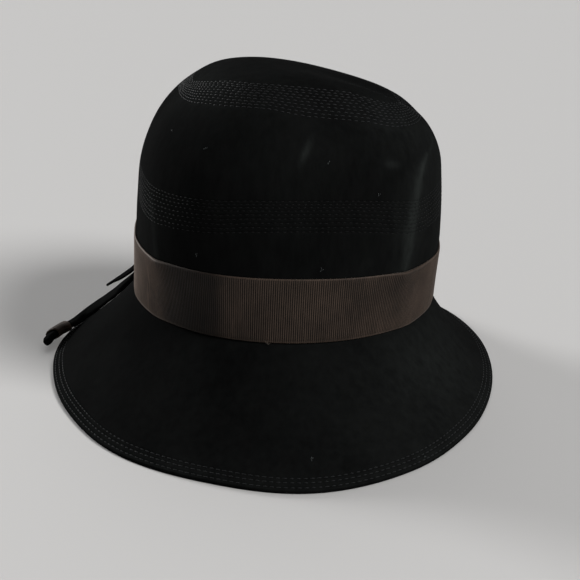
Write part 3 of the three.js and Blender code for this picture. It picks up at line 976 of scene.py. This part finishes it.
def fibres(name, roots, normals, count, length, spread, radius, material):
    """Little curled hairs, each a thin closed tube, in tufts about their roots."""
    sides, steps = 5, 6
    points, faces = [], []
    for root, normal in zip(roots, normals):
        side = unit(np.cross(normal, [0.3, 0.2, 1.0]))
        other = np.cross(normal, side)
        for _ in range(count):
            heading = RNG.uniform(0, 2 * np.pi)
            way = side * math.cos(heading) + other * math.sin(heading)
            bend = np.cross(normal, way) * RNG.uniform(-0.6, 0.6)
            start = root + (side * RNG.normal() + other * RNG.normal()) * spread
            reach = length * RNG.uniform(0.6, 1.2)
            t = np.linspace(0, 1, steps)[:, None]
            curve = way * t + bend * t ** 2 + normal * 0.5 * t * (1 - t)
            line = start + reach * curve + normal * radius * 1.3
            first = len(points)
            for i, middle in enumerate(line):
                ahead = unit(line[min(i + 1, steps - 1)] - line[max(i - 1, 0)])
                a = unit(np.cross(ahead, normal))
                b = np.cross(ahead, a)
                thick = radius * (0.35 if i in (0, steps - 1) else 1.0)
                for k in range(sides):
                    angle = 2 * math.pi * k / sides
                    points.append(middle + (a * math.cos(angle) + b * math.sin(angle)) * thick)
            tube = [tuple(v + first for v in f) for f in grid_faces(steps, sides, False)]
            tube.append(tuple(range(first, first + sides))[::-1])
            tube.append(tuple(range(first + (steps - 1) * sides, first + steps * sides)))
            faces += tube
    return make_object(name, metres(np.array(points)), faces, material)


def lint_piece():
    azimuths, places = np.array(CROWN_LINT).T
    normals = crown_normal(azimuths, places)
    roots = crown_point(azimuths, places)
    roots = roots + normals * unevenness(roots)[:, None]
    brim_azimuths, downs = np.array(BRIM_LINT).T
    brim_roots = brim_point(brim_azimuths, downs)
    brim_normals = brim_normal(brim_azimuths, downs)
    brim_roots = brim_roots + brim_normals * 0.2
    roots = np.concatenate([roots, brim_roots])
    normals = np.concatenate([normals, brim_normals])
    return fibres("lint", roots, normals, count=3, length=1.1, spread=0.22, radius=0.075,
                  material=LINT_MATERIAL)


def frayed_piece():
    azimuth = np.array([FRAYED_AZIMUTH])
    place = np.zeros(1)
    normal = crown_normal(azimuth, place + 0.02)
    root = crown_offset(azimuth, place, np.array([JOIN_GAP + RIBBON_THICKNESS + 0.3]))
    return fibres("frayed_threads", root, normal, count=9, length=1.7, spread=0.7, radius=0.07,
                  material=HAIR_MATERIAL)


crown = crown_piece()
brim = brim_piece()
band, band_run = band_piece()
tie_long = strip_piece("felt_tie_long", LONG_TIE_ROWS, LONG_TIE_TILT, LIES_TO)
tie_short = strip_piece("felt_tie_short", SHORT_TIE_ROWS, SHORT_TIE_TILT)
wrap, wrap_width, wrap_run = wrap_piece()
low_band, high_band = CROWN_STITCHING
rows_of_stitches = [
    crown_stitches(low_band, SHADED_THREAD_MATERIAL),
    crown_stitches(high_band, THREAD_MATERIAL),
    brim_stitches(),
]
lint, frayed = lint_piece(), frayed_piece()

REPLACED = (
    (crown, "crown", "felt"),
    (brim, "brim", "felt"),
    (band, "band", "ribbon"),
    (tie_long, "tie_long", "felt"),
    (tie_short, "tie_short", "felt"),
    (wrap, "tie_wrap", "ribbon"),
)
for piece, node, slot in REPLACED:
    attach(piece, "root")
    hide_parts(node)
for piece in [*rows_of_stitches, lint]:
    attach(piece, "root")
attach(frayed, "root")


def strip_cut(rows):
    """The length and flat area of a tie's strip, laid out straight, in metres."""
    place = np.linspace(0, len(rows) - 1, 200)
    middle, _, _ = strip_frame(rows, place)
    runs = np.linalg.norm(np.diff(middle, axis=0), axis=1) / 1000
    widths = row_at(rows, place)[:, 4] / 1000
    return runs.sum(), ((widths[1:] + widths[:-1]) / 2 * runs).sum()


tie_length, tie_area = strip_cut(LONG_TIE_ROWS)

# ---------------------------------------------------------------- floor, light and camera

FLOOR_COLOUR = (0.50, 0.492, 0.484, 1)
FLOOR_REACH = 14
SKY_COLOUR = (0.95, 0.97, 1.0, 1)
SKY_STRENGTH = 0.10
# name, azimuth and elevation it shines from, softness, all in degrees, and strength
LAMPS = (
    ("key", 52, 40, 22, 3.0),
    ("top", 172, 62, 50, 0.65),
    ("left_back", -130, 15, 16, 3.0),
)
CAMERA_AZIMUTH = -6.0
CAMERA_ELEVATION = 21.5
CAMERA_ROLL = 1.0
CAMERA_DISTANCE = 0.714
CAMERA_AIM = metres([4.2, 0.0, 42.5])
CAMERA_SENSOR = 36
CAMERA_LENS = 77.17

floor_material, _, _, floor_surface = material("pale_floor")
floor_surface.inputs["Base Color"].default_value = FLOOR_COLOUR
floor_surface.inputs["Roughness"].default_value = 0.7
floor_corners = [(x * FLOOR_REACH, y * FLOOR_REACH, 0) for x, y in ((-1, -1), (1, -1), (1, 1), (-1, 1))]
floor = make_object("floor", floor_corners, [(0, 1, 2, 3)], floor_material)

world = bpy.data.worlds.new("studio")
bpy.context.scene.world = world
world.use_nodes = True
sky = world.node_tree.nodes["Background"]
sky.inputs["Color"].default_value = SKY_COLOUR
sky.inputs["Strength"].default_value = SKY_STRENGTH
bpy.context.scene.view_settings.view_transform = "Standard"


def towards(azimuth, elevation):
    """The direction from the hat to a lamp or camera seen from it at these angles."""
    a, e = math.radians(azimuth), math.radians(elevation)
    return Vector((math.sin(a) * math.cos(e), -math.cos(a) * math.cos(e), math.sin(e)))


def sun(name, azimuth, elevation, softness, strength):
    data = bpy.data.lights.new(name, "SUN")
    data.angle = math.radians(softness)
    data.energy = strength
    lamp = bpy.data.objects.new(name, data)
    lamp.rotation_euler = towards(azimuth, elevation).to_track_quat("Z", "Y").to_euler()
    bpy.context.scene.collection.objects.link(lamp)


for lamp in LAMPS:
    sun(*lamp)

back = towards(CAMERA_AZIMUTH, CAMERA_ELEVATION)
camera_data = bpy.data.cameras.new("camera")
camera_data.sensor_width = CAMERA_SENSOR
camera_data.lens = CAMERA_LENS
camera = bpy.data.objects.new("camera", camera_data)
roll = Matrix.Rotation(math.radians(CAMERA_ROLL), 4, "Z")
turn = (-back).to_track_quat("-Z", "Y").to_matrix().to_4x4() @ roll
camera.matrix_world = Matrix.Translation(Vector(CAMERA_AIM) + back * CAMERA_DISTANCE) @ turn
bpy.context.scene.collection.objects.link(camera)
bpy.context.scene.camera = camera
